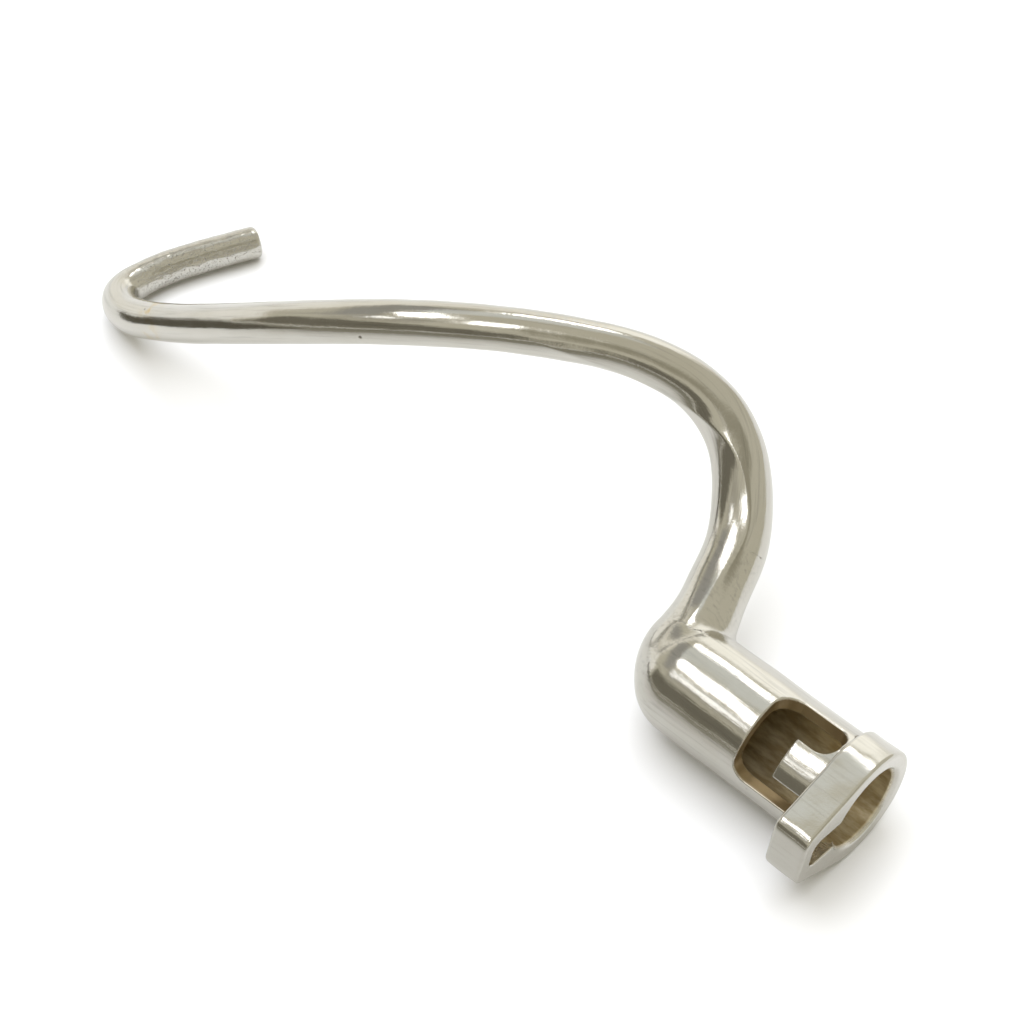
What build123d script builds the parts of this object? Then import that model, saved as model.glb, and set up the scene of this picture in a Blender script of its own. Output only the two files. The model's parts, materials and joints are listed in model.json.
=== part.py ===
from build123d import *
import os
from math import cos, radians, sin

# Dough hook of a planetary mixer, in millimetres.
# Origin: middle of the socket's mouth, on the axis of the shaft bore.
# +X runs along the bore and out of the mouth. +Z is up as the hook lies on a table.
# Angles are measured round the X axis, from +Y towards +Z.

# ---- Socket: shaft bore, wall and domed end ----
BORE_D = 25.4
SLEEVE_D = 33.4
BORE_DEPTH = 58.0
DOME_CENTRE_X = -61.7
MOUTH_CHAMFER = 1.4

# ---- Bayonet cuts in the sleeve wall, and the tooth left between them ----
WINDOW_ANGLES = (66.0, 176.0)
WINDOW_BACK_X = -34.2
WINDOW_CORNER_R = 5.0
TOOTH_ANGLES = (104.5, 149.0)
TOOTH_BACK_X = -22.5
POCKET_FRONT_X = -12.1
POCKET_CORNER_R = 4.0
CUTTER_STANDOFF = 4.0

# ---- Keyed collar, and the slot that lets the shaft's pin in ----
COLLAR_D = 37.2
COLLAR_WIDTH = 11.2
COLLAR_EDGE_R = 0.6
LOBE_ANGLE = 170.0
LOBE_CORNER_R = 4.5
LOBE_CORNER_REACH = 24.7
LOBE_CORNER_SPREAD = 5.4
PIN_SLOT_WIDTH = 10.0
PIN_SLOT_REACH = 24.7
PIN_SLOT_CORNER_R = 3.0
BEAD_SIZE = 0.9

# ---- Bar: centre line (x, y, z) and diameter, from the free tip to the root ----
ARM_STOPS = [
    (-299.0, 47.0, -12.9, 11.3),
    (-307.5, 27.5, -12.9, 11.4),
    (-313.0, 10.0, -12.8, 11.6),
    (-312.0, -3.0, -12.0, 12.2),
    (-302.0, -9.5, -8.5, 12.6),
    (-284.0, -11.0, 0.0, 12.6),
    (-247.0, -9.0, 22.5, 12.8),
    (-208.5, -0.5, 43.5, 13.4),
    (-174.0, 17.0, 53.5, 13.5),
    (-143.5, 38.5, 52.5, 13.6),
    (-118.5, 53.0, 46.0, 14.9),
    (-105.0, 56.0, 39.5, 15.8),
    (-93.0, 53.5, 30.5, 17.0),
    (-84.5, 46.5, 21.0, 18.2),
    (-78.0, 36.5, 13.5, 18.8),
]
# The root goes on from the arm's last stop into the domed end.
ROOT_STOPS = [
    ARM_STOPS[-1],
    (-74.5, 25.0, 8.5, 19.2),
    (-68.5, 9.0, 3.0, 20.5),
]
STATIONS_PER_SPAN = 3
TIP_EDGE_R = 1.0

BORE_R = BORE_D / 2
SLEEVE_R = SLEEVE_D / 2
LOBE_PLANE = Plane(
    origin=(0, 0, 0),
    x_dir=(0, cos(radians(LOBE_ANGLE)), sin(radians(LOBE_ANGLE))),
    z_dir=(1, 0, 0),
)


def spoke(radius, angle):
    """Point across the socket, at a radius and an angle round its axis."""
    return (radius * cos(radians(angle)), radius * sin(radians(angle)))


def wall_cutter(angles, back_x, front_x, corner_r=0.0, corner_end=0):
    """Wedge that cuts the sleeve wall between two angles; corner_end 0 rounds its back, -1 its front."""
    start, end = angles
    reach = SLEEVE_R + CUTTER_STANDOFF
    with BuildPart() as cutter:
        with BuildSketch(Plane.YZ.offset(back_x)):
            with BuildLine():
                Line((0, 0), spoke(reach, start))
                ThreePointArc(spoke(reach, start), spoke(reach, (start + end) / 2), spoke(reach, end))
                Line(spoke(reach, end), (0, 0))
            make_face()
        extrude(amount=front_x - back_x)
        if corner_r:
            end_face = cutter.faces().filter_by(Axis.X).sort_by(Axis.X)[corner_end]
            fillet(end_face.edges().filter_by(GeomType.LINE), corner_r)
    return cutter.part


def bar_stations(line, stops):
    """Places along the bar as (share of the line, diameter), with even steps between the stops."""
    places = [line.param_at_point(Vector(*stop[:3])) for stop in stops]
    stations = [(places[0], stops[0][3])]
    for i in range(len(stops) - 1):
        for step in range(1, STATIONS_PER_SPAN + 1):
            share = step / STATIONS_PER_SPAN
            place = places[i] + share * (places[i + 1] - places[i])
            stations.append((place, stops[i][3] + share * (stops[i + 1][3] - stops[i][3])))
    return stations


def bar_plane(line, place):
    """Plane across the bar, turned so that its x axis stays level and the skin doesn't twist."""
    along = line.tangent_at(place)
    return Plane(origin=line.position_at(place), x_dir=Vector(0, 0, 1).cross(along), z_dir=along)


# ---- Centre line of the bar, through the arm and the root ----
with BuildLine() as route:
    Spline(*[stop[:3] for stop in ARM_STOPS + ROOT_STOPS[1:]])
bar = route.edge()

# ---- Hook arm: tapering round bar, from its free tip to the root ----
with BuildPart() as hook_arm:
    for place, diameter in bar_stations(bar, ARM_STOPS):
        with BuildSketch(bar_plane(bar, place)):
            Circle(diameter / 2)
    loft()
    tip_face = hook_arm.faces().filter_by(GeomType.PLANE).sort_by(Axis.X)[0]
    fillet(tip_face.edges(), TIP_EDGE_R)
hook_arm.part.label = "hook_arm"

# ---- Socket end: domed plug that closes the bore, with the arm's root grown out of its side ----
with BuildPart() as socket_end:
    with BuildSketch(Plane.XZ):
        with BuildLine():
            Line((-BORE_DEPTH, 0), (-BORE_DEPTH, SLEEVE_R))
            Line((-BORE_DEPTH, SLEEVE_R), (DOME_CENTRE_X, SLEEVE_R))
            RadiusArc((DOME_CENTRE_X, SLEEVE_R), (DOME_CENTRE_X - SLEEVE_R, 0), -SLEEVE_R)
            Line((DOME_CENTRE_X - SLEEVE_R, 0), (-BORE_DEPTH, 0))
        make_face()
    revolve(axis=Axis.X)
    for place, diameter in bar_stations(bar, ROOT_STOPS):
        with BuildSketch(bar_plane(bar, place)):
            Circle(diameter / 2)
    loft()
socket_end.part.label = "socket_end"

# ---- Bayonet cuts: open back, pocket beside the tooth, channel from the mouth ----
window = wall_cutter(WINDOW_ANGLES, WINDOW_BACK_X, TOOTH_BACK_X, WINDOW_CORNER_R)
pocket = wall_cutter((WINDOW_ANGLES[0], TOOTH_ANGLES[0]), TOOTH_BACK_X, POCKET_FRONT_X, POCKET_CORNER_R, -1)
channel = wall_cutter((TOOTH_ANGLES[1], WINDOW_ANGLES[1]), TOOTH_BACK_X, -COLLAR_WIDTH)

# ---- Pin slot: lobe of the keyhole mouth, through the collar and the sleeve's front end ----
with BuildPart() as pin_slot:
    with BuildSketch(LOBE_PLANE):
        with Locations((PIN_SLOT_REACH / 2, 0)):
            Rectangle(PIN_SLOT_REACH, PIN_SLOT_WIDTH)
    extrude(amount=-COLLAR_WIDTH)
    fillet(pin_slot.edges().filter_by(Axis.X).sort_by(Axis.Y)[:2], PIN_SLOT_CORNER_R)

# ---- Sleeve: tube with the shaft bore, its bayonet cuts and the tooth ----
with BuildPart() as sleeve:
    with BuildSketch(Plane.YZ):
        Circle(SLEEVE_R)
        Circle(BORE_R, mode=Mode.SUBTRACT)
    extrude(amount=-BORE_DEPTH)
    mouth = sleeve.edges().filter_by(GeomType.CIRCLE).group_by(Axis.X)[-1].sort_by(SortBy.RADIUS)[0]
    chamfer(mouth, MOUTH_CHAMFER)
    add([window, pocket, channel, pin_slot.part], mode=Mode.SUBTRACT)
sleeve.part.label = "sleeve"

# ---- Collar: keyed ring on the sleeve's front end, with a lobe that bridges the pin slot ----
with BuildPart() as collar:
    with BuildSketch(LOBE_PLANE):
        with BuildLine():
            CenterArc((0, 0), COLLAR_D / 2, 90, 180)
            CenterArc((LOBE_CORNER_REACH, LOBE_CORNER_SPREAD), LOBE_CORNER_R, 0, 90)
            CenterArc((LOBE_CORNER_REACH, -LOBE_CORNER_SPREAD), LOBE_CORNER_R, 270, 90)
        make_hull()
        Circle(SLEEVE_R, mode=Mode.SUBTRACT)
    extrude(amount=-COLLAR_WIDTH)
    end_faces = collar.faces().filter_by(Axis.X)
    fillet([edge for face in end_faces for edge in face.outer_wire().edges()], COLLAR_EDGE_R)
    add(pin_slot.part, mode=Mode.SUBTRACT)
collar.part.label = "collar"

# ---- Collar bead: braze fillet behind the collar, where the sleeve's wall isn't cut away ----
with BuildPart() as collar_bead:
    with BuildSketch(Plane.XZ):
        with BuildLine():
            Polyline(
                (-COLLAR_WIDTH, SLEEVE_R),
                (-COLLAR_WIDTH, SLEEVE_R + BEAD_SIZE),
                (-COLLAR_WIDTH - BEAD_SIZE, SLEEVE_R),
                close=True,
            )
        make_face()
    revolve(axis=Axis.X)
    add([pocket, channel], mode=Mode.SUBTRACT)
collar_bead.part.label = "collar_bead"

os.makedirs("parts", exist_ok=True)
export_step(hook_arm.part, "parts/hook_arm.step")
export_step(socket_end.part, "parts/socket_end.step")
export_step(sleeve.part, "parts/sleeve.step")
export_step(collar.part, "parts/collar.step")
export_step(collar_bead.part, "parts/collar_bead.step")
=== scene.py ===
import bpy
import bmesh
import json
import numpy as np
from math import atan2, cos, hypot, pi, radians, sin
from mathutils import Matrix, Vector


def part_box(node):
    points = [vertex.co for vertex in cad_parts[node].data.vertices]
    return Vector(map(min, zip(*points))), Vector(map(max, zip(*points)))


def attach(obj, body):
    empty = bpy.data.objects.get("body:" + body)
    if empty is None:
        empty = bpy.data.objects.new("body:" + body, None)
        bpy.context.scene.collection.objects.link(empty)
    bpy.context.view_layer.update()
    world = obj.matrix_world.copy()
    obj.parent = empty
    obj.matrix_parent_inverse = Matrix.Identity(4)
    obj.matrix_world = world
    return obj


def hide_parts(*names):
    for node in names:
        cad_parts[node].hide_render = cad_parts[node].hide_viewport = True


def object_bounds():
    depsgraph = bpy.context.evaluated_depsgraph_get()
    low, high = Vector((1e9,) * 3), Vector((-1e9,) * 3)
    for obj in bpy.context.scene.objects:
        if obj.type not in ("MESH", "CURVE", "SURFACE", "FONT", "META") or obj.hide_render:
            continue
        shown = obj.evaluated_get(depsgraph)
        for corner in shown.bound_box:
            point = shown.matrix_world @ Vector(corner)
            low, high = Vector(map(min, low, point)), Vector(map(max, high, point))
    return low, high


# A dough hook, lying on a pale table. Shapes are worked out in millimetres in the CAD's frame,
# as distance functions, and become metres when a mesh is made.
# Origin: middle of the socket's mouth. +X leaves the mouth, +Z is up. Angles go from +Y towards +Z.

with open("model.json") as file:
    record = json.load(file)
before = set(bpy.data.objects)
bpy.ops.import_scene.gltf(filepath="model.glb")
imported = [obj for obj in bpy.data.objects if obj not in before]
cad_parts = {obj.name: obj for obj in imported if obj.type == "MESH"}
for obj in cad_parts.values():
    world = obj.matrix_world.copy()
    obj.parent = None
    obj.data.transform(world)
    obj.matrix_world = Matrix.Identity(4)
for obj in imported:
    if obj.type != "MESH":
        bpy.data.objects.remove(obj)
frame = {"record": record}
cad_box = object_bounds()
MM = 0.001


def cad_mm(node):
    """Lowest and highest corner of a CAD node, in millimetres."""
    low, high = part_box(node)
    return np.array(low) / MM, np.array(high) / MM


# ---- Socket sizes, read from the frame ----
sleeve_low, sleeve_high = cad_mm("sleeve")
SLEEVE_R = (sleeve_high[2] - sleeve_low[2]) / 2
BORE_DEPTH = -sleeve_low[0]
bore_mount = frame["record"]["mounts"][0]
BORE_R = bore_mount["dims"]["r_mm"]
MOUTH_CHAMFER = -bore_mount["pos_m"][0] / MM
DOME_PAST_BORE = 3.7
DOME_X = -BORE_DEPTH - DOME_PAST_BORE
COLLAR_WIDTH = -cad_mm("collar")[0][0]
COLLAR_R = -cad_mm("collar")[0][2]
BEAD_X = cad_mm("collar_bead")[0][0]
BORE_END_EDGE = 3.0
CUT_EDGE = 0.5
COLLAR_EDGE = 1.2
COLLAR_UNEVEN = 1.3

# ---- Bayonet cuts: two angles in degrees, then two places on X ----
WINDOW = (66.0, 176.0, -34.2, -22.5)
POCKET = (66.0, 104.5, -24.0, -12.1)
CHANNEL = (149.0, 176.0, -24.0, -5.0)
# Corner radii at (high angle, high X), (high angle, low X), (low angle, high X) and (low angle, low X).
WINDOW_CORNERS = (0.0, 5.0, 0.0, 7.0)
POCKET_CORNERS = (5.0, 0.0, 3.8, 0.0)
CHANNEL_CORNERS = (0.0, 0.0, 0.0, 0.0)

# ---- Collar outline and pin slot, along and across the lobe ----
LOBE_ANGLE = radians(170.0)
LOBE_CORNER = (24.7, 5.4)
LOBE_CORNER_R = 4.5
SLOT_REACH = 24.7
SLOT_HALF = 5.0
SLOT_CORNER_R = 3.0

# ---- Braze bead: where it runs round the sleeve, and the heap at its end, in degrees ----
BEAD_ANGLES = (176.5, 425.5)
BEAD_HEAP_ANGLE = 424.0
BEAD_HEAP_SPREAD = 5.0

# ---- Bar: centre line (x, y, z) and diameter, as in the CAD source ----
STOPS = np.array([
    (-299.0, 47.0, -12.9, 11.3),
    (-307.5, 27.5, -12.9, 11.4),
    (-313.0, 10.0, -12.8, 11.6),
    (-312.0, -3.0, -12.0, 12.2),
    (-302.0, -9.5, -8.5, 12.6),
    (-284.0, -11.0, 0.0, 12.6),
    (-247.0, -9.0, 22.5, 12.8),
    (-208.5, -0.5, 43.5, 13.4),
    (-174.0, 17.0, 53.5, 13.5),
    (-143.5, 38.5, 52.5, 13.6),
    (-118.5, 53.0, 46.0, 14.9),
    (-105.0, 56.0, 39.5, 15.8),
    (-93.0, 53.5, 30.5, 17.0),
    (-84.5, 46.5, 21.0, 18.2),
    (-78.0, 36.5, 13.5, 18.8),
    (-74.5, 25.0, 8.5, 19.2),
    (-68.5, 9.0, 3.0, 20.5),
])
ROOT = 14

# ---- Places along the bar, from the tip ----
TIP_REACH = 8.0
TIP_EDGE = 2.4
ROUGH_END = 54.0
ROUGH_FADE = 14.0
STAIN_PLACE = 91.0
STAIN_SPREAD = 4.0
BAR_OVERLAP = 0.8
FAR_FROM_TIP = 500.0

# ---- Ridge: it runs along the inner side, then sweeps over the top through the bend ----
# Each stop is a place on the bar and an angle round it, in degrees. Edge and reach are in radians.
RIDGE_START = 235.0
RIDGE = np.array([
    (RIDGE_START, 150.0),
    (290.0, 180.0),
    (315.0, 100.0),
    (340.0, 75.0),
    (370.0, 105.0),
])
RIDGE_FADE = 35.0
RIDGE_EDGE = 0.07
RIDGE_DEPTH = 0.42
RIDGE_REACH = 0.45
RIDGE_SKIN = 3.0

# ---- Unevenness, in millimetres ----
GOLDEN_ANGLE = 2.4
WAVE_HEIGHT = 0.022
LUMP_HEIGHT = 0.012


# =============================== Distance functions, in millimetres ===============================

class Spline:
    """Natural cubic spline through rows of numbers."""

    def __init__(self, at, rows):
        step = np.diff(at)[:, None]
        count = len(rows)
        left, right = np.eye(count), np.zeros_like(rows)
        for i in range(1, count - 1):
            left[i, i - 1:i + 2] = step[i - 1, 0], 2 * (step[i - 1, 0] + step[i, 0]), step[i, 0]
            right[i] = 6 * ((rows[i + 1] - rows[i]) / step[i] - (rows[i] - rows[i - 1]) / step[i - 1])
        bend = np.linalg.solve(left, right)
        self.at = at
        self.c0 = rows[:-1]
        self.c1 = np.diff(rows, axis=0) / step - step * (2 * bend[:-1] + bend[1:]) / 6
        self.c2 = bend[:-1] / 2
        self.c3 = np.diff(bend, axis=0) / (6 * step)

    def __call__(self, place, order=0):
        i = np.clip(np.searchsorted(self.at, place, side="right") - 1, 0, len(self.c0) - 1)
        u = (place - self.at[i])[:, None]
        if order == 0:
            return self.c0[i] + u * (self.c1[i] + u * (self.c2[i] + u * self.c3[i]))
        if order == 1:
            return self.c1[i] + u * (2 * self.c2[i] + u * 3 * self.c3[i])
        return 2 * self.c2[i] + 6 * u * self.c3[i]


stop_places = np.r_[0, np.cumsum(np.linalg.norm(np.diff(STOPS[:, :3], axis=0), axis=1))]
LINE = Spline(stop_places, STOPS[:, :3])
GIRTH = Spline(stop_places, STOPS[:, 3:] / 2)
RIDGE_COURSE = Spline(RIDGE[:, 0], RIDGE[:, 1:])
LINE_END = stop_places[-1]
ROOT_PLACE = stop_places[ROOT]
LINE_PLACES = np.linspace(0, LINE_END, 360)
LINE_POINTS = LINE(LINE_PLACES)
TIP = LINE(np.zeros(1))[0]
TIP_DIRECTION = LINE(np.zeros(1), 1)[0] / np.linalg.norm(LINE(np.zeros(1), 1)[0])


def unite(a, b, soft):
    """Smallest of two distances, with a fillet where they meet."""
    overlap = np.maximum(soft - np.abs(a - b), 0) / soft
    return np.minimum(a, b) - overlap * overlap * soft / 4


def overlap_of(a, b, soft):
    """Largest of two distances, with a rounded edge where they meet."""
    return -unite(-a, -b, soft)


def nearest_place(p):
    """Place on the bar's line that is nearest to each point."""
    place = np.empty(len(p))
    gap = np.empty(len(p))
    line = LINE_POINTS.astype(np.float32)
    line_squared = (line ** 2).sum(1)
    for i in range(0, len(p), 40000):
        part = p[i:i + 40000].astype(np.float32)
        squared = line_squared - 2 * part @ line.T
        best = squared.argmin(1)
        place[i:i + 40000] = LINE_PLACES[best]
        gap[i:i + 40000] = squared[np.arange(len(part)), best] + (part ** 2).sum(1)
    close = np.abs(np.sqrt(np.maximum(gap, 0)) - GIRTH(place)[:, 0]) < 5
    t, q = place[close], p[close]
    for _ in range(3):
        off, first, second = LINE(t) - q, LINE(t, 1), LINE(t, 2)
        slope = (off * first).sum(1)
        curve = np.maximum((first * first).sum(1) + (off * second).sum(1), 0.2)
        t = np.clip(t - np.clip(slope / curve, -1.5, 1.5), 0, LINE_END)
    place[close] = t
    return place


def scattered_way(turn, tilt):
    """Unit direction."""
    return np.array([cos(turn) * cos(tilt), sin(turn) * cos(tilt), sin(tilt)])


def waves(p):
    """Faint unevenness that hand grinding leaves, in millimetres."""
    out = np.zeros(len(p))
    for k in range(7):
        way = scattered_way(GOLDEN_ANGLE * k + 0.7, 0.9 * sin(1.7 * k))
        out += WAVE_HEIGHT * np.sin(p @ way * 2 * pi / (13.0 + 3.1 * k) + 1.3 * k)
    return out


def lumps(p):
    """Rough forged skin of the free tip, in millimetres."""
    out = np.zeros(len(p))
    for k in range(14):
        way = scattered_way(GOLDEN_ANGLE * k + 0.3, 1.3 * sin(2.1 * k))
        out += LUMP_HEIGHT * np.sin(p @ way * 2 * pi / (1.9 + 0.34 * k) + 2.1 * k)
    return out


def cross_frame(place):
    """Level and rising directions across the bar."""
    along = LINE(place, 1)
    along /= np.linalg.norm(along, axis=1)[:, None]
    side = np.cross((0, 0, 1), along)
    side /= np.linalg.norm(side, axis=1)[:, None]
    return side, np.cross(along, side)


def hollows(off, place):
    """Depth of the two shallow flats that leave the ridge standing between them."""
    side, rise = cross_frame(place)
    angle = np.arctan2((off * rise).sum(1), (off * side).sum(1))
    course = RIDGE_COURSE(np.clip(place, RIDGE_START, RIDGE[-1, 0]))[:, 0]
    away = angle - np.radians(course)
    away = np.abs((away + pi) % (2 * pi) - pi)
    away = (np.sqrt(away ** 2 + RIDGE_EDGE ** 2) - RIDGE_EDGE) / RIDGE_REACH
    fade = np.clip((place - RIDGE_START) / RIDGE_FADE, 0, 1)
    return RIDGE_DEPTH * fade * away * np.exp(1 - away)


def flat_tip(p, d):
    """Bar's distance near its free end, closed by a flat face with a soft edge."""
    along = (p - TIP) @ TIP_DIRECTION
    aside = np.linalg.norm(p - TIP - along[:, None] * TIP_DIRECTION, axis=1)
    side = np.where(along < 0, aside - GIRTH(np.zeros(1))[0, 0], d)
    return overlap_of(side, -along, TIP_EDGE)


def bar(p):
    """Bent bar with its ridge, a flat tip and the tip's rough skin."""
    place = nearest_place(p)
    off = p - LINE(place)
    d = np.linalg.norm(off, axis=1) - GIRTH(place)[:, 0]
    ridged = (place > RIDGE_START) & (d < RIDGE_SKIN)
    if ridged.any():
        d[ridged] += hollows(off[ridged], place[ridged])
    tip = place < TIP_REACH
    if tip.any():
        d[tip] = flat_tip(p[tip], d[tip])
    rough = place < ROUGH_END
    if rough.any():
        fade = np.clip((ROUGH_END - place[rough]) / ROUGH_FADE, 0, 1)
        d[rough] -= fade * lumps(p[rough])
    return d


def hub(p):
    """Round-ended cylinder."""
    back = np.minimum(p[:, 0] - DOME_X, 0.0)
    return np.hypot(back, np.hypot(p[:, 1], p[:, 2])) - SLEEVE_R


def bored(x, r):
    """Shaft bore with its chamfered mouth."""
    wall = overlap_of(r - BORE_R, -x - BORE_DEPTH, BORE_END_EDGE)
    return np.minimum(wall, (r - BORE_R - MOUTH_CHAMFER - x) / 2 ** 0.5)


def rounded_box(u, v, half_u, half_v, corners):
    """2-D distance; corners are the radii at (+u +v), (+u -v), (-u +v) and (-u -v)."""
    r = np.where(u > 0, np.where(v > 0, corners[0], corners[1]), np.where(v > 0, corners[2], corners[3]))
    a, b = np.abs(u) - half_u + r, np.abs(v) - half_v + r
    return np.minimum(np.maximum(a, b), 0) + np.hypot(np.maximum(a, 0), np.maximum(b, 0)) - r


def wall_cut(x, r, angle, box, corners):
    """One cut in the sleeve's wall, between two angles and two places on X."""
    middle, half = radians(box[0] + box[1]) / 2, radians(box[1] - box[0]) / 2
    u, v = (angle - middle) * r, x - (box[2] + box[3]) / 2
    return rounded_box(u, v, half * r, (box[3] - box[2]) / 2, corners)


def bayonet(p):
    """Window, pocket and channel together."""
    r = np.maximum(np.hypot(p[:, 1], p[:, 2]), 1.0)
    angle = np.arctan2(p[:, 2], p[:, 1])
    angle = np.where(angle < radians(-60), angle + 2 * pi, angle)
    d = wall_cut(p[:, 0], r, angle, WINDOW, WINDOW_CORNERS)
    d = np.minimum(d, wall_cut(p[:, 0], r, angle, POCKET, POCKET_CORNERS))
    d = np.minimum(d, wall_cut(p[:, 0], r, angle, CHANNEL, CHANNEL_CORNERS))
    return np.maximum(d, 4.0 - r)


def across_lobe(p):
    """Distance along and across the collar's lobe."""
    y, z = p[:, 1], p[:, 2]
    return y * cos(LOBE_ANGLE) + z * sin(LOBE_ANGLE), z * cos(LOBE_ANGLE) - y * sin(LOBE_ANGLE)


def pin_slot(p):
    """Slot that runs from just past the bore's middle out into the collar's lobe."""
    along, across = across_lobe(p)
    middle = SLOT_REACH / 2 - 2.0
    corners = (SLOT_CORNER_R, SLOT_CORNER_R, 0.0, 0.0)
    return rounded_box(along - middle, across, middle + 4.0, SLOT_HALF, corners)


def collar_outline(p):
    """2-D distance to the taut outline round the collar's main circle and the lobe's two corners."""
    along, across = across_lobe(p)
    across = np.abs(across)
    lean = atan2(LOBE_CORNER[1], LOBE_CORNER[0])
    lean += np.arccos((COLLAR_R - LOBE_CORNER_R) / hypot(*LOBE_CORNER))
    flank = along * cos(lean) + across * sin(lean) - COLLAR_R
    on_flank = along * sin(lean) - across * cos(lean)
    flank_end = LOBE_CORNER[0] * sin(lean) - LOBE_CORNER[1] * cos(lean)
    corner = np.hypot(along - LOBE_CORNER[0], across - LOBE_CORNER[1]) - LOBE_CORNER_R
    end = along - LOBE_CORNER[0] - LOBE_CORNER_R
    past = np.where(across < LOBE_CORNER[1], end, corner)
    beyond_circle = np.where(on_flank < flank_end, flank, past)
    return np.where(on_flank < 0, np.hypot(along, across) - COLLAR_R, beyond_circle)


def socket_form(p):
    """Domed cylinder with the bar's root blended in; the fillet is wide round the outside of the bend."""
    outer_side = np.clip((-60.0 - p[:, 0]) / 20.0, 0, 1)
    fillet = 3.0 + 11.0 * outer_side ** 2 * (3 - 2 * outer_side)
    return unite(bar(p), hub(p), fillet)


def skin(p):
    """Outer surface of the bar and the socket, with its unevenness."""
    return socket_form(p) - waves(p)


def socket(p):
    """Socket with the bore and the bayonet cuts."""
    x, r = p[:, 0], np.hypot(p[:, 1], p[:, 2])
    d = skin(p)
    # Under the collar the tube's bore is a hair wider, so that only the collar's own wall shows there.
    hidden = 0.04 * np.clip((x + COLLAR_WIDTH + 0.3) / 0.3, 0, 1)
    d = overlap_of(d, -bored(x, r - hidden), CUT_EDGE)
    d = overlap_of(d, -bayonet(p), CUT_EDGE)
    return np.maximum(d, x + COLLAR_WIDTH - 1.5)


def collar(p):
    """Keyed ring with softened outer edges."""
    x, r = p[:, 0], np.hypot(p[:, 1], p[:, 2])
    d = overlap_of(collar_outline(p) - COLLAR_UNEVEN * waves(2.0 * p), x, COLLAR_EDGE)
    d = overlap_of(d, -x - COLLAR_WIDTH, COLLAR_EDGE)
    edge = 0.1 + 0.4 * np.clip((x + 3.0) / 2.0, 0, 1)
    hole = np.minimum(bored(x, r), pin_slot(p))
    return overlap_of(d, -hole, edge)


def slopes(distance, p):
    """Unit slope of a distance function at each point."""
    step = 0.04
    out = np.empty_like(p)
    for axis in range(3):
        shift = np.zeros(3)
        shift[axis] = step
        out[:, axis] = distance(p + shift) - distance(p - shift)
    return out / np.maximum(np.linalg.norm(out, axis=1), 1e-9)[:, None]


def onto(distance, p, rounds=3):
    """Points moved onto the surface where the distance is nought."""
    for _ in range(rounds):
        p = p - np.clip(distance(p), -0.4, 0.4)[:, None] * slopes(distance, p)
    return p


# ========================================= Meshes =========================================

def edge_ends(values, axis):
    """Values at the two ends of every grid edge that runs along an axis."""
    first = [slice(None)] * 3
    second = [slice(None)] * 3
    first[axis], second[axis] = slice(0, -1), slice(1, None)
    return values[tuple(first)], values[tuple(second)]


def net_points(values, low, step):
    """One point in each grid cell that the surface crosses, and the number of each cell's point."""
    cells = tuple(n - 1 for n in values.shape)
    total = np.zeros(cells + (3,))
    count = np.zeros(cells)
    for axis in range(3):
        a, b = edge_ends(values, axis)
        crossed = (a < 0) != (b < 0)
        share = np.where(crossed, a / np.where(crossed, a - b, 1.0), 0.0)
        others = [k for k in range(3) if k != axis]
        for i in (0, 1):
            for j in (0, 1):
                pick = [slice(None)] * 3
                pick[others[0]] = slice(i, cells[others[0]] + i)
                pick[others[1]] = slice(j, cells[others[1]] + j)
                hit = crossed[tuple(pick)]
                count += hit
                total[..., axis] += share[tuple(pick)]
                total[..., others[0]] += i * hit
                total[..., others[1]] += j * hit
    used = count > 0
    number = np.full(cells, -1)
    number[used] = np.arange(used.sum())
    corner = np.stack(np.nonzero(used), 1)
    return (corner + total[used] / count[used][:, None]) * step + np.array(low), number


def net_faces(values, number):
    """Four-sided face round every grid edge that the surface crosses."""
    cells = number.shape
    faces = []
    for axis in range(3):
        a, b = edge_ends(values < 0, axis)
        others = [(axis + 1) % 3, (axis + 2) % 3]
        for outward in (True, False):
            spots = np.stack(np.nonzero((a & ~b) if outward else (~a & b)), 1)
            inner = (spots[:, others[0]] > 0) & (spots[:, others[1]] > 0)
            inner &= (spots[:, others[0]] < cells[others[0]]) & (spots[:, others[1]] < cells[others[1]])
            spots = spots[inner]
            ring = []
            for i, j in ((0, 0), (1, 0), (1, 1), (0, 1)):
                cell = spots.copy()
                cell[:, others[0]] += i - 1
                cell[:, others[1]] += j - 1
                ring.append(number[tuple(cell.T)])
            faces.append(np.stack(ring if outward else ring[::-1], 1))
    return np.concatenate(faces)


def surface_net(distance, low, high, step):
    """Points and four-sided faces of the surface inside a box."""
    axes = [np.arange(low[k], high[k] + step, step) for k in range(3)]
    shape = tuple(len(a) for a in axes)
    points = np.stack(np.meshgrid(*axes, indexing="ij"), -1).reshape(-1, 3)
    values = np.concatenate([distance(part) for part in np.array_split(points, 12)]).reshape(shape)
    verts, number = net_points(values, low, step)
    return verts, net_faces(values, number)


def ring_faces(count, around):
    """Four-sided faces that join rings of points."""
    faces = []
    for i in range(count - 1):
        for j in range(around):
            k = (j + 1) % around
            faces.append((i * around + j, i * around + k, (i + 1) * around + k, (i + 1) * around + j))
    return faces


def make_object(name, verts, faces):
    """Object in metres, from points in millimetres."""
    mesh = bpy.data.meshes.new(name)
    mesh.from_pydata((verts * MM).tolist(), [], [list(map(int, f)) for f in faces])
    obj = bpy.data.objects.new(name, mesh)
    bpy.context.scene.collection.objects.link(obj)
    return obj


def coords(mesh):
    """Points of a mesh in millimetres."""
    flat = np.empty(len(mesh.vertices) * 3, np.float32)
    mesh.vertices.foreach_get("co", flat)
    return flat.reshape(-1, 3).astype(float) / MM


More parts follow.
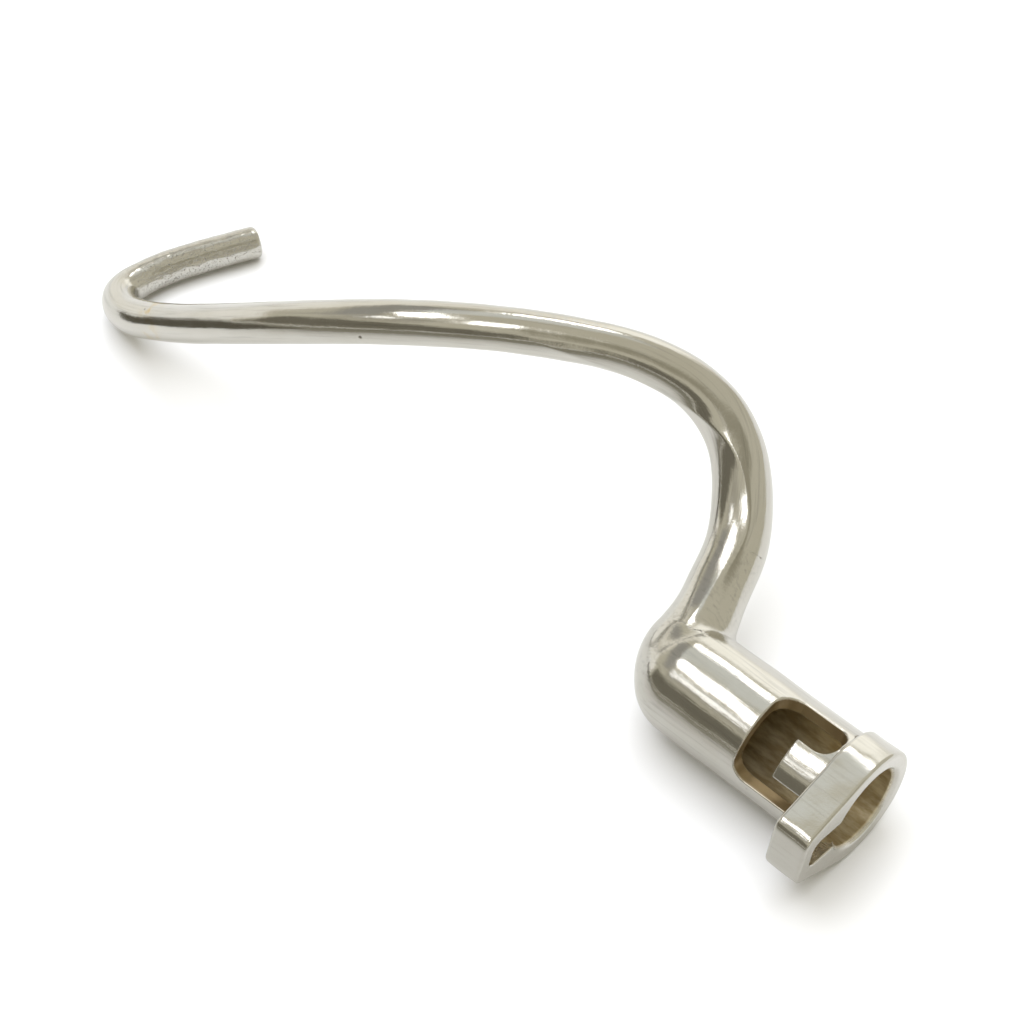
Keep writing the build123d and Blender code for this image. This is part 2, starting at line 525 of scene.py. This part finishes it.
def into_triangles(data):
    """Splits every face into triangles, and removes any two that share the same three points."""
    mesh = bmesh.new()
    mesh.from_mesh(data)
    bmesh.ops.triangulate(mesh, faces=mesh.faces[:])
    on_points = {}
    for face in mesh.faces:
        on_points.setdefault(frozenset(v.index for v in face.verts), []).append(face)
    folded = [face for faces in on_points.values() if len(faces) > 1 for face in faces]
    bmesh.ops.delete(mesh, geom=folded, context="FACES")
    mesh.to_mesh(data)
    mesh.free()


def thin(obj, ratio):
    """Fewer faces, kept where the surface bends."""
    modifier = obj.modifiers.new("thin", "DECIMATE")
    modifier.ratio = ratio
    graph = bpy.context.evaluated_depsgraph_get()
    mesh = bpy.data.meshes.new_from_object(obj.evaluated_get(graph), depsgraph=graph)
    obj.modifiers.remove(modifier)
    old, obj.data = obj.data, mesh
    bpy.data.meshes.remove(old)
    into_triangles(mesh)


def smooth(mesh, distance, points):
    """Smooth shading that follows the true surface's slope."""
    mesh.polygons.foreach_set("use_smooth", [True] * len(mesh.polygons))
    mesh.update()
    mesh.normals_split_custom_set_from_vertices(slopes(distance, points).tolist())


def settle(obj, distance, fixed=None):
    """Moves points onto the true surface, apart from the fixed ones, and shades them from its slope."""
    mesh = obj.data
    p = coords(mesh)
    moved = onto(distance, p, 2)
    if fixed is not None:
        moved[fixed(p)] = p[fixed(p)]
    mesh.vertices.foreach_set("co", (moved * MM).astype(np.float32).ravel())
    smooth(mesh, distance, moved)
    return moved


def note_looks(obj, grain, place=FAR_FROM_TIP, inner=0.0, cut=0.0, stain=0.0):
    """Stores numbers per point for the materials: place on the bar, how far into the bore or a cut's wall,
    stain, and where the point is along and across its part, so that brush marks follow the part."""
    count = len(obj.data.vertices)
    # The cut value marks the cuts' walls, which get painted shade.
    for name, values in (("place", place), ("inner", inner), ("cut", cut), ("stain", stain)):
        layer = obj.data.attributes.new(name, "FLOAT", "POINT")
        layer.data.foreach_set("value", np.broadcast_to(values, count).astype(np.float32))
    layer = obj.data.attributes.new("grain", "FLOAT_VECTOR", "POINT")
    layer.data.foreach_set("vector", (grain * MM).astype(np.float32).ravel())


def finish_piece(obj, material, slot, *nodes):
    """Gives a piece its material, hides the CAD nodes it stands for, and hangs it under the root body."""
    obj.data.materials.append(material)
    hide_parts(*nodes)
    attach(obj, "root")


def bar_mesh():
    """Rings along the bar from the tip's face to just inside the root, and which points are the last."""
    around = 120
    fine_end = 56.0
    fine = np.arange(0.0, fine_end, 0.6)
    coarse = np.linspace(fine_end, ROOT_PLACE, int((ROOT_PLACE - fine_end) / 1.1))
    places = np.r_[fine, coarse, ROOT_PLACE + BAR_OVERLAP]
    centres = LINE(places)
    girth = GIRTH(places)[:, 0]
    side, rise = cross_frame(places)
    turn = np.linspace(0, 2 * pi, around, endpoint=False)

    def ring(i, radius):
        return centres[i] + radius * (np.cos(turn)[:, None] * side[i] + np.sin(turn)[:, None] * rise[i])

    rings = [ring(0, share * girth[0]) for share in (0.15, 0.4, 0.65, 0.85)]
    rings += [ring(i, girth[i]) for i in range(len(centres))]
    count = len(rings)
    rim = (count - 1) * around
    tip_middle = count * around
    root_middle = tip_middle + 1
    verts = np.concatenate(rings + [centres[:1], centres[-1:]])
    faces = ring_faces(count, around)
    for j in range(around):
        k = (j + 1) % around
        faces.append((tip_middle, k, j))
        faces.append((root_middle, rim + j, rim + k))
    last = np.zeros(len(verts), bool)
    last[rim:tip_middle] = True
    last[root_middle] = True
    return verts, faces, last


def make_hook_arm(material):
    verts, faces, last = bar_mesh()
    verts[~last] = onto(skin, verts[~last], 8)
    # The end inside the socket is drawn in a little, so that its rim stays hidden.
    middle = LINE(np.array([ROOT_PLACE + BAR_OVERLAP]))[0]
    verts[last] = middle + (verts[last] - middle) * 0.97
    obj = make_object("hook_arm_bar", verts, faces)
    p = coords(obj.data)
    smooth(obj.data, skin, p)
    place = nearest_place(p)
    side, rise = cross_frame(place)
    off = p - LINE(place)
    grain = np.stack([place, (off * side).sum(1), (off * rise).sum(1)], 1)
    stain = np.exp(-((place - STAIN_PLACE) / STAIN_SPREAD) ** 2)
    note_looks(obj, grain, place=place, stain=stain)
    finish_piece(obj, material, "polished_metal", "hook_arm")


def cut_arm_away(data, root, away):
    """Cuts the arm off at the root's plane, where the bar's own mesh takes over, and closes the hole."""
    mesh = bmesh.new()
    mesh.from_mesh(data)
    faces = [f for f in mesh.faces if f.calc_center_median().y > 12.0 * MM]
    edges = list(dict.fromkeys(e for f in faces for e in f.edges))
    points = list(dict.fromkeys(v for f in faces for v in f.verts))
    bmesh.ops.bisect_plane(
        mesh,
        geom=faces + edges + points,
        plane_co=Vector(root * MM),
        plane_no=Vector(away),
        clear_inner=True,
    )
    loose = [v for v in mesh.verts if not v.link_faces]
    bmesh.ops.delete(mesh, geom=loose, context="VERTS")
    rim = [e for e in mesh.edges if e.is_boundary]
    bmesh.ops.holes_fill(mesh, edges=rim, sides=0)
    mesh.to_mesh(data)
    mesh.free()


def make_socket(material):
    low = (-91.0, -18.0, -18.0)
    high = (-COLLAR_WIDTH + 2.5, 47.0, 26.0)
    verts, faces = surface_net(socket, low, high, 0.5)
    obj = make_object("socket_body", verts, faces)
    root = LINE(np.array([ROOT_PLACE]))[0]
    away = LINE(np.array([ROOT_PLACE]), 1)[0]
    away /= np.linalg.norm(away)
    cut_arm_away(obj.data, root, away)
    thin(obj, 0.55)

    def on_cut(p):
        return (np.abs((p - root) @ away) < 0.02) & (p[:, 1] > 12)

    p = settle(obj, socket, on_cut)
    depth = -socket_form(p)
    inner = np.clip((depth - 0.15) / 0.3, 0, 1)
    # cut marks the walls of the bayonet cuts, which get painted shade, a darker brown.
    cut = inner * np.clip((SLEEVE_R - BORE_R - depth) / 0.4, 0, 1)
    note_looks(obj, p, inner=inner, cut=cut)
    finish_piece(obj, material, "polished_metal", "socket_end", "sleeve")


def make_collar(material):
    low = (-COLLAR_WIDTH - 1.0, -31.0, -20.0)
    high = (1.0, 20.0, 20.0)
    verts, faces = surface_net(collar, low, high, 0.4)
    obj = make_object("collar_ring", verts, faces)
    thin(obj, 0.5)
    p = settle(obj, collar)
    hole = np.minimum(bored(p[:, 0], np.hypot(p[:, 1], p[:, 2])), pin_slot(p))
    inner = np.clip((0.5 - np.abs(hole)) / 0.4, 0, 1) * np.clip((-p[:, 0] - 0.6) / 1.0, 0, 1)
    note_looks(obj, p, inner=inner)
    finish_piece(obj, material, "machined_metal", "collar")


def bead_ring(a, taper, around):
    """Ring of points round the bead's section, at an angle round the sleeve."""
    heap = np.exp(-((np.degrees(a) - BEAD_HEAP_ANGLE) / BEAD_HEAP_SPREAD) ** 2)
    size = 0.32 + 0.10 * sin(a * 37) * sin(a * 11 + 1) + heap * (0.35 + 0.25 * sin(a * 160) * sin(a * 71))
    ring = []
    for j in range(around):
        b = 2 * pi * j / around
        bump = 1 + 0.12 * sin(3 * b + a * 50)
        x = -COLLAR_WIDTH - 0.15 + size * bump * taper * cos(b)
        r = SLEEVE_R + 0.05 + size * bump * taper * sin(b)
        ring.append((max(x, BEAD_X - 1.2), r * cos(a), r * sin(a)))
    return ring


def make_bead(material):
    """Thin uneven fillet behind the collar, heaped where the sleeve's wall starts beside the pocket."""
    start, end = radians(BEAD_ANGLES[0]), radians(BEAD_ANGLES[1])
    steps, around = 420, 10
    verts = []
    for i in range(steps):
        taper = min(1.0, i / 6, (steps - 1 - i) / 3) + 0.02
        verts += bead_ring(start + (end - start) * i / (steps - 1), taper, around)
    faces = ring_faces(steps, around)
    faces.append(list(range(around))[::-1])
    faces.append([(steps - 1) * around + j for j in range(around)])
    obj = make_object("collar_bead_braze", np.array(verts), faces)
    obj.data.polygons.foreach_set("use_smooth", [True] * len(obj.data.polygons))
    note_looks(obj, np.array(verts))
    finish_piece(obj, material, "braze_metal", "collar_bead")


# ======================================== Materials ========================================

POLISHED = (0.62, 0.605, 0.56)
MACHINED = (0.64, 0.625, 0.58)
BRAZE = (0.34, 0.31, 0.26)
DIRT = (0.10, 0.085, 0.06, 1.0)
STAIN_YELLOW = (0.58, 0.44, 0.20, 1.0)
TARNISH_DARK = (0.36, 0.275, 0.14, 1.0)
TARNISH_PALE = (0.64, 0.56, 0.38, 1.0)
# Painted shade: a darker brown laid on the walls of the bayonet cuts.
CUT_WALL_PAINTED_SHADE = (0.19, 0.135, 0.062, 1.0)


class Nodes:
    """Short way to make and link shader nodes."""

    def __init__(self, name):
        self.material = bpy.data.materials.new(name)
        self.material.use_nodes = True
        self.tree = self.material.node_tree
        self.tree.nodes.clear()
        self.out = self.add("ShaderNodeOutputMaterial")
        self.shader = self.add("ShaderNodeBsdfPrincipled")
        self.link(self.shader, "BSDF", self.out, "Surface")

    def add(self, kind, **values):
        node = self.tree.nodes.new(kind)
        for key, value in values.items():
            setattr(node, key, value)
        return node

    def link(self, source, out, target, into):
        self.tree.links.new(source.outputs[out], target.inputs[into])

    def scaled(self, scale, vector=None):
        mapping = self.add("ShaderNodeMapping")
        mapping.inputs["Scale"].default_value = scale
        if vector is None:
            vector = (self.add("ShaderNodeTexCoord"), "Object")
        self.link(vector[0], vector[1], mapping, "Vector")
        return mapping, "Vector"

    def noise(self, scale, detail=2.0, roughness=0.5, vector=None):
        node = self.add("ShaderNodeTexNoise")
        node.inputs["Scale"].default_value = scale
        node.inputs["Detail"].default_value = detail
        node.inputs["Roughness"].default_value = roughness
        if vector is None:
            vector = (self.add("ShaderNodeTexCoord"), "Object")
        self.link(vector[0], vector[1], node, "Vector")
        return node, "Fac"

    def attribute(self, name):
        node = self.add("ShaderNodeAttribute")
        node.attribute_name = name
        return node, "Fac"

    def remap(self, source, low, high, to_low, to_high, smooth=False):
        node = self.add("ShaderNodeMapRange")
        node.interpolation_type = "SMOOTHSTEP" if smooth else "LINEAR"
        for key, value in (("From Min", low), ("From Max", high), ("To Min", to_low), ("To Max", to_high)):
            node.inputs[key].default_value = value
        self.link(source[0], source[1], node, "Value")
        return node, "Result"

    def math(self, operation, a, b):
        node = self.add("ShaderNodeMath", operation=operation)
        for i, value in enumerate((a, b)):
            if isinstance(value, tuple):
                self.tree.links.new(value[0].outputs[value[1]], node.inputs[i])
            else:
                node.inputs[i].default_value = value
        return node, "Value"

    def mix(self, share, a, b):
        node = self.add("ShaderNodeMix", data_type="RGBA")
        for i, value in ((0, share), (6, a), (7, b)):
            if isinstance(value[0] if isinstance(value, tuple) else value, bpy.types.Node):
                self.tree.links.new(value[0].outputs[value[1]], node.inputs[i])
            else:
                node.inputs[i].default_value = value
        return node, 2

    def bump(self, height, distance, strength=1.0, before=None):
        node = self.add("ShaderNodeBump")
        node.inputs["Distance"].default_value = distance
        node.inputs["Strength"].default_value = strength
        self.link(height[0], height[1], node, "Height")
        if before is not None:
            self.link(before, "Normal", node, "Normal")
        return node

    def pits(self, scale, size):
        """1 at small round pits scattered in some of the cells."""
        cells = self.add("ShaderNodeTexVoronoi")
        cells.inputs["Scale"].default_value = scale
        self.link(self.add("ShaderNodeTexCoord"), "Object", cells, "Vector")
        near = self.remap((cells, "Distance"), size * 0.4, size, 1.0, 0.0, True)
        pick = self.add("ShaderNodeSeparateColor")
        self.link(cells, "Color", pick, "Color")
        some = self.remap((pick, "Red"), 0.50, 0.54, 0.0, 1.0)
        return self.math("MULTIPLY", near, some)


def polish_color(n, color, brush, streak):
    """Metal's own colour: cloudy, streaked, and yellow where it is stained."""
    full = color + (1.0,)
    dull = tuple(c * f for c, f in zip(color, (0.95, 0.945, 0.925))) + (1.0,)
    dark = tuple(c * 0.70 for c in color) + (1.0,)
    cloud = n.noise(45.0, 4.0, 0.6)
    blotch = n.remap(n.noise(190.0, 3.0, 0.6), 0.42, 0.62, 0.0, 0.75, True)
    base = n.mix(n.remap(cloud, 0.3, 0.7, 0.0, 1.0, True), full, dull)
    base = n.mix(n.remap(streak, 0.48, 0.76, 0.0, brush, True), base, dark)
    return n.mix(n.math("MULTIPLY", n.attribute("stain"), blotch), base, STAIN_YELLOW)


def tarnish_with_painted_shade_color(n, grain):
    """Brown tarnish of the bore, with painted shade: a darker brown on the walls of the cuts."""
    film = n.noise(260.0, 4.0, 0.65, n.scaled((0.3, 1.0, 1.0), grain))
    brown = n.mix(n.remap(film, 0.36, 0.68, 0.0, 1.0, True), TARNISH_DARK, TARNISH_PALE)
    # Painted shade: the cut mask darkens the tarnish on the cuts' walls.
    return n.mix(n.attribute("cut"), brown, CUT_WALL_PAINTED_SHADE)


def metal_roughness(n, roughness, streak, dirt, inner, tip):
    haze = n.remap(n.noise(110.0, 3.0, 0.6), 0.35, 0.7, 0.0, 1.0, True)
    polish = n.remap(haze, 0.0, 1.0, roughness * 0.8, roughness * 1.3)
    rough = n.math("ADD", polish, n.math("MULTIPLY", dirt, 0.3))
    rough = n.math("ADD", rough, n.math("MULTIPLY", inner, 0.22))
    rough = n.math("ADD", rough, n.math("MULTIPLY", tip, 0.03))
    return n.math("ADD", rough, n.remap(streak, 0.4, 0.75, 0.0, 0.07, True))


def metal_relief(n, brush, streak, grain, dirt, inner):
    """Bumps, in metres: grinding, brush marks, scratches, speckle, pits and tarnish."""
    scratch = n.noise(2400.0, 2.0, 0.6, n.scaled((0.015, 1.0, 1.0), grain))
    fine = n.bump(n.noise(430.0, 3.0, 0.6), 0.00006, 0.6)
    fine = n.bump(streak, 0.00004, brush, fine)
    fine = n.bump(scratch, 0.000015, 0.6, fine)
    fine = n.bump(n.noise(2600.0, 2.0, 0.6), 0.00002, 0.6, fine)
    fine = n.bump(n.math("MULTIPLY", dirt, -1.0), 0.00025, 0.8, fine)
    return n.bump(n.math("MULTIPLY", n.noise(420.0, 3.0, 0.6), inner), 0.0002, 0.5, fine)


def metal(name, color, roughness, brush):
    """Hand-polished metal: hazy polish, fine scratches, scattered pits, a rough tip, a brown tarnished
    bore and painted shade on the cuts' walls.
    """
    n = Nodes(name)
    tip = n.remap(n.attribute("place"), 40.0, 56.0, 1.0, 0.0, True)
    inner = n.attribute("inner")
    grain = n.attribute("grain")[0], "Vector"
    streak = n.noise(900.0, 3.0, 0.65, n.scaled((0.04, 1.0, 1.0), grain))
    tip_pit = n.math("MULTIPLY", tip, n.remap(n.noise(2100.0, 3.0, 0.65), 0.56, 0.68, 0.0, 0.7, True))
    dirt = n.math("MAXIMUM", n.pits(75.0, 0.06), tip_pit)

    base = n.mix(dirt, polish_color(n, color, brush, streak), DIRT)
    # Tarnish in the bore, with painted shade darkening the cuts' walls.
    base = n.mix(inner, base, tarnish_with_painted_shade_color(n, grain))
    n.link(base[0], base[1], n.shader, "Base Color")
    metallic = n.remap(inner, 0.0, 1.0, 1.0, 0.55)
    n.link(metallic[0], metallic[1], n.shader, "Metallic")
    rough = metal_roughness(n, roughness, streak, dirt, inner, tip)
    n.link(rough[0], rough[1], n.shader, "Roughness")
    n.link(metal_relief(n, brush, streak, grain, dirt, inner), "Normal", n.shader, "Normal")
    return n.material


def floor_material():
    n = Nodes("pale_table")
    shade = n.remap(n.noise(14.0, 3.0, 0.5), 0.3, 0.7, 0.0, 1.0, True)
    color = n.mix(shade, (0.86, 0.86, 0.86, 1.0), (0.88, 0.88, 0.88, 1.0))
    n.link(color[0], color[1], n.shader, "Base Color")
    n.shader.inputs["Roughness"].default_value = 0.6
    n.shader.inputs["Specular IOR Level"].default_value = 0.2
    return n.material


# ======================================== Stage and light ========================================

RIGHT = Vector((0.72314, 0.69070, 0.0))
AWAY = Vector((-0.69070, 0.72314, 0.0))
FILL_POWER = 62.0
FILL_COLOR = (0.88, 0.91, 1.0)
FILL_SIZE = (2.8, 2.8)
FILL_DISTANCE = 2.2
OBJECT_MIDDLE = Vector((-0.13, 0.01, 0.02))
FLOOR_SIDE = 60.0
# Heights of the glowing cards that paint shade into the table's reflection.
DARK_SHADE_CARD_ABOVE = 0.0008
GREY_SHADE_CARD_ABOVE = 0.0004

# ---- Camera, in metres ----
CAMERA_AT = (0.15517, -0.30144, 0.50615)
CAMERA_UP = Vector((-0.52569, 0.55037, 0.64865))
LENS = 77.34
SENSOR_WIDTH = 36.0


def rectangle(name, centre, facing, width, height):
    """Flat panel in metres, turned to face a point."""
    centre, facing = Vector(centre), Vector(facing)
    turn = (facing - centre).to_track_quat("Z", "Y").to_matrix()
    corners = [(-1, -1), (1, -1), (1, 1), (-1, 1)]
    verts = [centre + turn @ Vector((x * width / 2, y * height / 2, 0)) for x, y in corners]
    mesh = bpy.data.meshes.new(name)
    mesh.from_pydata(verts, [], [(0, 1, 2, 3)])
    obj = bpy.data.objects.new(name, mesh)
    bpy.context.scene.collection.objects.link(obj)
    return obj


def area_light(name, centre, facing, size, power, color):
    data = bpy.data.lights.new(name, "AREA")
    data.shape = "RECTANGLE"
    data.size, data.size_y = size
    data.energy = power
    data.color = color
    obj = bpy.data.objects.new(name, data)
    obj.location = centre
    obj.rotation_mode = "QUATERNION"
    obj.rotation_quaternion = (Vector(facing) - Vector(centre)).to_track_quat("-Z", "Y")
    bpy.context.scene.collection.objects.link(obj)
    return obj


def way_to(azimuth, elevation):
    """Direction seen from the object; azimuth 0 is straight away from the camera and 90 to its right."""
    a, e = radians(azimuth), radians(elevation)
    return (RIGHT * sin(a) + AWAY * cos(a)) * cos(e) + Vector((0, 0, sin(e)))


class Sky:
    """World light made of soft-edged panels, laid one over the other."""

    def __init__(self, color):
        world = bpy.data.worlds.new("studio")
        bpy.context.scene.world = world
        world.use_nodes = True
        self.tree = world.node_tree
        self.tree.nodes.clear()
        self.back = self.tree.nodes.new("ShaderNodeBackground")
        out = self.tree.nodes.new("ShaderNodeOutputWorld")
        self.tree.links.new(self.back.outputs["Background"], out.inputs["Surface"])
        self.way = self.tree.nodes.new("ShaderNodeTexCoord").outputs["Generated"]
        plain = self.tree.nodes.new("ShaderNodeRGB")
        plain.outputs[0].default_value = color + (1,)
        self.color = plain.outputs[0]

    def along(self, direction):
        node = self.tree.nodes.new("ShaderNodeVectorMath")
        node.operation = "DOT_PRODUCT"
        node.inputs[1].default_value = direction
        self.tree.links.new(self.way, node.inputs[0])
        return node.outputs["Value"]

    def math(self, operation, a, b):
        node = self.tree.nodes.new("ShaderNodeMath")
        node.operation = operation
        for socket_in, value in zip(node.inputs, (a, b)):
            if isinstance(value, float):
                socket_in.default_value = value
            else:
                self.tree.links.new(value, socket_in)
        return node.outputs[0]

    def fade(self, value, full, none):
        node = self.tree.nodes.new("ShaderNodeMapRange")
        node.interpolation_type = "SMOOTHSTEP"
        node.inputs["From Min"].default_value = full
        node.inputs["From Max"].default_value = none
        node.inputs["To Min"].default_value = 1.0
        node.inputs["To Max"].default_value = 0.0
        self.tree.links.new(value, node.inputs["Value"])
        return node.outputs["Result"]

    def panel(self, azimuth, elevation, half_width, half_height, soft, color):
        """Rectangle in angles (degrees) round a direction, with soft edges."""
        ahead = way_to(azimuth, elevation)
        across = way_to(azimuth + 90, 0)
        upward = across.cross(ahead)
        mask = self.math("GREATER_THAN", self.along(ahead), 0.0)
        for direction, half in ((across, half_width), (upward, half_height)):
            angle = self.math("ARCTAN2", self.along(direction), self.along(ahead))
            size = self.math("ABSOLUTE", angle, 0.0)
            edge = self.fade(size, radians(half - soft / 2), radians(half + soft / 2))
            mask = self.math("MULTIPLY", mask, edge)
        node = self.tree.nodes.new("ShaderNodeMix")
        node.data_type = "RGBA"
        self.tree.links.new(mask, node.inputs[0])
        self.tree.links.new(self.color, node.inputs[6])
        node.inputs[7].default_value = color + (1,)
        self.color = node.outputs[2]

    def done(self):
        self.tree.links.new(self.color, self.back.inputs["Color"])


def make_world():
    """Panels: azimuth, elevation, half width, half height and edge in degrees, then colour."""
    sky = Sky((0.66, 0.63, 0.52))
    sky.panel(-5, 4, 42, 30, 14, (1.12, 1.09, 1.00))
    sky.panel(-34, -6, 39, 22, 6, (1.12, 1.10, 1.04))
    sky.panel(22, 20, 9, 17, 8, (1.45, 1.43, 1.35))
    sky.panel(-6, 64, 22, 11, 6, (0.84, 0.855, 0.82))
    sky.panel(150, 48, 26, 12, 10, (0.40, 0.375, 0.29))
    sky.panel(-50, 46, 26, 11, 8, (0.42, 0.41, 0.38))
    sky.panel(-112, 43, 17, 9, 7, (0.50, 0.475, 0.40))
    sky.panel(-125, 15, 47, 14, 7, (0.21, 0.195, 0.155))
    sky.panel(-157, 61, 6, 9, 5, (3.4, 3.4, 3.4))
    sky.panel(-105, 46, 6, 3.5, 4, (2.2, 2.2, 2.22))
    sky.panel(-88, 64, 11, 6, 4, (4.6, 4.6, 4.7))
    sky.panel(13, 49, 7, 4, 2.5, (5.0, 5.0, 5.1))
    sky.done()


def make_painted_shade_card(name, outline, height):
    """Glowing card just above the table, which only reflections see: it paints shade into the table's
    reflection.
    """
    verts = [(x * MM, y * MM, height) for x, y in outline]
    mesh = bpy.data.meshes.new(name)
    mesh.from_pydata(verts, [], [tuple(range(len(verts)))])
    card = bpy.data.objects.new(name, mesh)
    bpy.context.scene.collection.objects.link(card)
    for kind in ("camera", "diffuse", "transmission", "volume_scatter", "shadow"):
        setattr(card, "visible_" + kind, False)
    n = Nodes(name)
    n.shader.inputs["Base Color"].default_value = (0.0, 0.0, 0.0, 1.0)
    n.shader.inputs["Specular IOR Level"].default_value = 0.0
    # The card glows with its own dark colour: painted shade, not a lamp.
    n.shader.inputs["Emission Strength"].default_value = 1.0
    mesh.materials.append(n.material)
    return n


def make_painted_shade_cards(ground):
    """Painted shade in the table's reflection: a dark glowing card near the bend, and a grey one that
    grows denser away from the bar.
    """
    outline = [(-335, -42), (-319, -107), (-330, -330), (-900, -500), (-900, -150)]
    # Painted shade: a dark glowing sheet near the bend, seen only in reflections.
    dark = make_painted_shade_card("painted_shade_dark_card", outline, ground + DARK_SHADE_CARD_ABOVE)
    dark.shader.inputs["Emission Color"].default_value = (0.13, 0.12, 0.095, 1.0)
    outline = [(-1500, 1500), (-1500, -1500), (1200, -1500), (1200, 1500)]
    # Painted shade: a grey glowing sheet that darkens the table's reflection more towards -Y.
    grey = make_painted_shade_card("painted_shade_grey_card", outline, ground + GREY_SHADE_CARD_ABOVE)
    grey.shader.inputs["Emission Color"].default_value = (0.26, 0.245, 0.19, 1.0)
    dot = grey.add("ShaderNodeVectorMath", operation="DOT_PRODUCT")
    dot.inputs[1].default_value = (0.25, -1.0, 0.0)
    grey.link(grey.add("ShaderNodeTexCoord"), "Object", dot, 0)
    shade_density = grey.remap((dot, "Value"), -0.03, 0.17, 0.2, 0.95)
    grey.link(shade_density[0], shade_density[1], grey.shader, "Alpha")


def make_stage(ground):
    floor = rectangle("table_top", (-0.15, 0, ground), (-0.15, 0, ground + 1), FLOOR_SIDE, FLOOR_SIDE)
    floor.data.materials.append(floor_material())
    # Glowing cards that paint shade into the table's reflection.
    make_painted_shade_cards(ground)
    above = OBJECT_MIDDLE + way_to(-20, 75) * FILL_DISTANCE
    fill = area_light("fill_above", above, OBJECT_MIDDLE, FILL_SIZE, FILL_POWER, FILL_COLOR)
    fill.visible_glossy = False


def make_camera():
    data = bpy.data.cameras.new("camera")
    data.sensor_width = SENSOR_WIDTH
    data.lens = LENS
    data.clip_start, data.clip_end = 0.01, 50.0
    obj = bpy.data.objects.new("camera", data)
    turn = Matrix((RIGHT, CAMERA_UP, RIGHT.cross(CAMERA_UP))).transposed()
    obj.matrix_world = Matrix.Translation(CAMERA_AT) @ turn.to_4x4()
    bpy.context.scene.collection.objects.link(obj)
    bpy.context.scene.camera = obj


make_camera()
polished = metal("polished_metal", POLISHED, 0.105, 0.6)
make_hook_arm(polished)
make_socket(polished)
make_collar(metal("machined_metal", MACHINED, 0.14, 0.3))
make_bead(metal("braze_metal", BRAZE, 0.38, 0.6))
make_stage(cad_box[0][2])
make_world()

view = bpy.context.scene.view_settings
view.view_transform = "Standard"
view.look = "None"
bpy.context.scene.cycles.use_denoising = True
